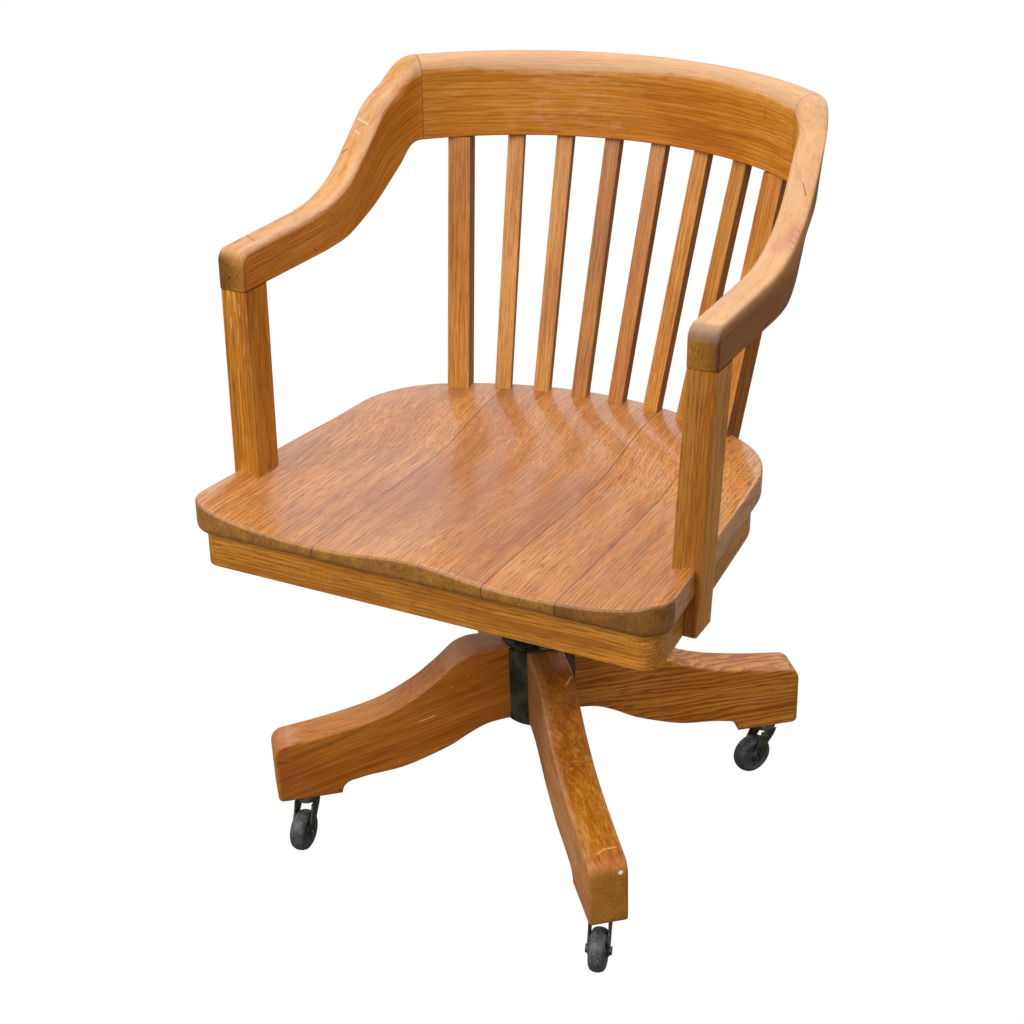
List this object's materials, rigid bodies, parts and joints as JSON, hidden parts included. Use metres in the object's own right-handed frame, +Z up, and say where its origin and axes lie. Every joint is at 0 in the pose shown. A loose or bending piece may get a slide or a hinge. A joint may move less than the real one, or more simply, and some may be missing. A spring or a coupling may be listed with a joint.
{
  "type": "swivel armchair",
  "caption": "Oak swivel armchair with a rounded back bow, slatted back, dished seat, tilting screw post, four-leg base and casters.",
  "frame": {"origin": "on the floor, at the centre of the rectangle that holds the chair in plan", "axes": "+Z up, -Y the way the chair faces, +X to the viewer's right from the front"},
  "size_m": [0.543, 0.5785, 0.8323],
  "materials": {
    "oak_seat": "amber varnished oak, glossy where it is sat on",
    "oak_frame": "amber varnished oak, worn pale along the top edges",
    "oak_base": "red-brown varnished oak with dark grain",
    "green_black_iron": "old green-black enamel",
    "screw_steel": "dull steel",
    "spring_steel": "oil-blackened steel",
    "worn_steel": "bare steel worn smooth",
    "bronze": "oiled bronze",
    "wheel_composition": "hard charcoal composition with pale scuffs",
    "caster_steel": "dark olive-grey paint over stamped steel, bare at the edges"
  },
  "bodies": {
    "base": {"hub": "green_black_iron", "hub_sleeve": "bronze", "hub_top_plate": "green_black_iron", "hub_bottom_plate": "green_black_iron", "leg_screws": "screw_steel", "thrust_washer": "worn_steel", "caster_sockets": "caster_steel", "leg_front": "oak_base", "leg_right": "oak_base", "leg_back": "oak_base", "leg_left": "oak_base"},
    "nut": {"height_nut": "green_black_iron"},
    "head": {"screw_post": "worn_steel", "tilt_head": "green_black_iron", "tension_spring": "spring_steel"},
    "seat": {"seat_board_1": "oak_seat", "seat_board_2": "oak_seat", "seat_board_3": "oak_seat", "seat_board_4": "oak_seat", "apron_front": "oak_seat", "apron_back": "oak_seat", "apron_left": "oak_seat", "apron_right": "oak_seat", "corner_blocks": "oak_seat", "block_screws": "screw_steel", "arm_post_left": "oak_frame", "arm_post_right": "oak_frame", "stile_left": "oak_frame", "stile_right": "oak_frame", "slat_1": "oak_frame", "slat_2": "oak_frame", "slat_3": "oak_frame", "slat_4": "oak_frame", "slat_5": "oak_frame", "slat_6": "oak_frame", "crest_rail": "oak_frame", "arm_left": "oak_frame", "arm_right": "oak_frame", "bow_dowels": "oak_frame", "seat_iron_left": "green_black_iron", "seat_iron_right": "green_black_iron", "seat_screws": "screw_steel", "tilt_pivot_pin": "worn_steel", "anchor_pin": "worn_steel"},
    "rod": {"tension_rod": "worn_steel"},
    "washer": {"tension_washer": "worn_steel"},
    "knob": {"tension_knob": "green_black_iron"},
    "fork_front": {"caster_fork_front": "caster_steel", "caster_axle_front": "worn_steel"},
    "wheel_front": {"caster_wheel_front": "wheel_composition"},
    "fork_right": {"caster_fork_right": "caster_steel", "caster_axle_right": "worn_steel"},
    "wheel_right": {"caster_wheel_right": "wheel_composition"},
    "fork_back": {"caster_fork_back": "caster_steel", "caster_axle_back": "worn_steel"},
    "wheel_back": {"caster_wheel_back": "wheel_composition"},
    "fork_left": {"caster_fork_left": "caster_steel", "caster_axle_left": "worn_steel"},
    "wheel_left": {"caster_wheel_left": "wheel_composition"}
  },
  "joints": [
    {"name": "swivel", "type": "hinge", "parent": "base", "child": "nut", "pos_m": [0, -0.02002, 0.25], "axis": [0, 0, 1], "continuous": true},
    {"name": "height", "type": "slide", "parent": "nut", "child": "head", "axis": [0, 0, 1], "range_m": [-0.03, 0.05]},
    {"name": "tilt", "type": "hinge", "parent": "head", "child": "seat", "pos_m": [0, -0.02002, 0.388], "axis": [-1, 0, 0], "range_deg": [0, 15], "stiffness_Nm_per_rad": 90, "springref_deg": -20.05, "deforming": ["tension_spring"]},
    {"name": "rod_swing", "type": "hinge", "parent": "seat", "child": "rod", "pos_m": [0, -0.07994, 0.39114], "axis": [-1, 0, 0], "range_deg": [-15, 0]},
    {"name": "tension_travel", "type": "slide", "parent": "rod", "child": "washer", "axis": [0, 0, 1], "range_m": [-0.002, 0.002], "deforming": ["tension_spring"]},
    {"name": "tension_turn", "type": "hinge", "parent": "washer", "child": "knob", "pos_m": [0, -0.07994, 0.3], "axis": [0, 0, 1], "range_deg": [-360, 360]},
    {"name": "caster_swivel_front", "type": "hinge", "parent": "base", "child": "fork_front", "pos_m": [0.17709, -0.23639, 0.07], "axis": [0, 0, 1], "continuous": true},
    {"name": "wheel_spin_front", "type": "hinge", "parent": "fork_front", "child": "wheel_front", "pos_m": [0.1817, -0.25358, 0.024], "axis": [0.9659, 0.2588, 0], "continuous": true},
    {"name": "caster_swivel_right", "type": "hinge", "parent": "base", "child": "fork_right", "pos_m": [0.21637, 0.15707, 0.07], "axis": [0, 0, 1], "continuous": true},
    {"name": "wheel_spin_right", "type": "hinge", "parent": "fork_right", "child": "wheel_right", "pos_m": [0.20667, 0.14214, 0.024], "axis": [0.8387, -0.5446, 0], "continuous": true},
    {"name": "caster_swivel_back", "type": "hinge", "parent": "base", "child": "fork_back", "pos_m": [-0.17709, 0.19634, 0.07], "axis": [0, 0, 1], "continuous": true},
    {"name": "wheel_spin_back", "type": "hinge", "parent": "fork_back", "child": "wheel_back", "pos_m": [-0.17895, 0.17864, 0.024], "axis": [0.9945, -0.1045, 0], "continuous": true},
    {"name": "caster_swivel_left", "type": "hinge", "parent": "base", "child": "fork_left", "pos_m": [-0.21637, -0.19711, 0.07], "axis": [0, 0, 1], "continuous": true},
    {"name": "wheel_spin_left", "type": "hinge", "parent": "fork_left", "child": "wheel_left", "pos_m": [-0.21389, -0.21474, 0.024], "axis": [0.9903, 0.1392, 0], "continuous": true}
  ],
  "couplings": [
    {"joint": "rod_swing", "follows": "tilt", "ratio": -1},
    {"joint": "tension_turn", "follows": "tension_travel", "rad_per_m": 3141.6}
  ]
}
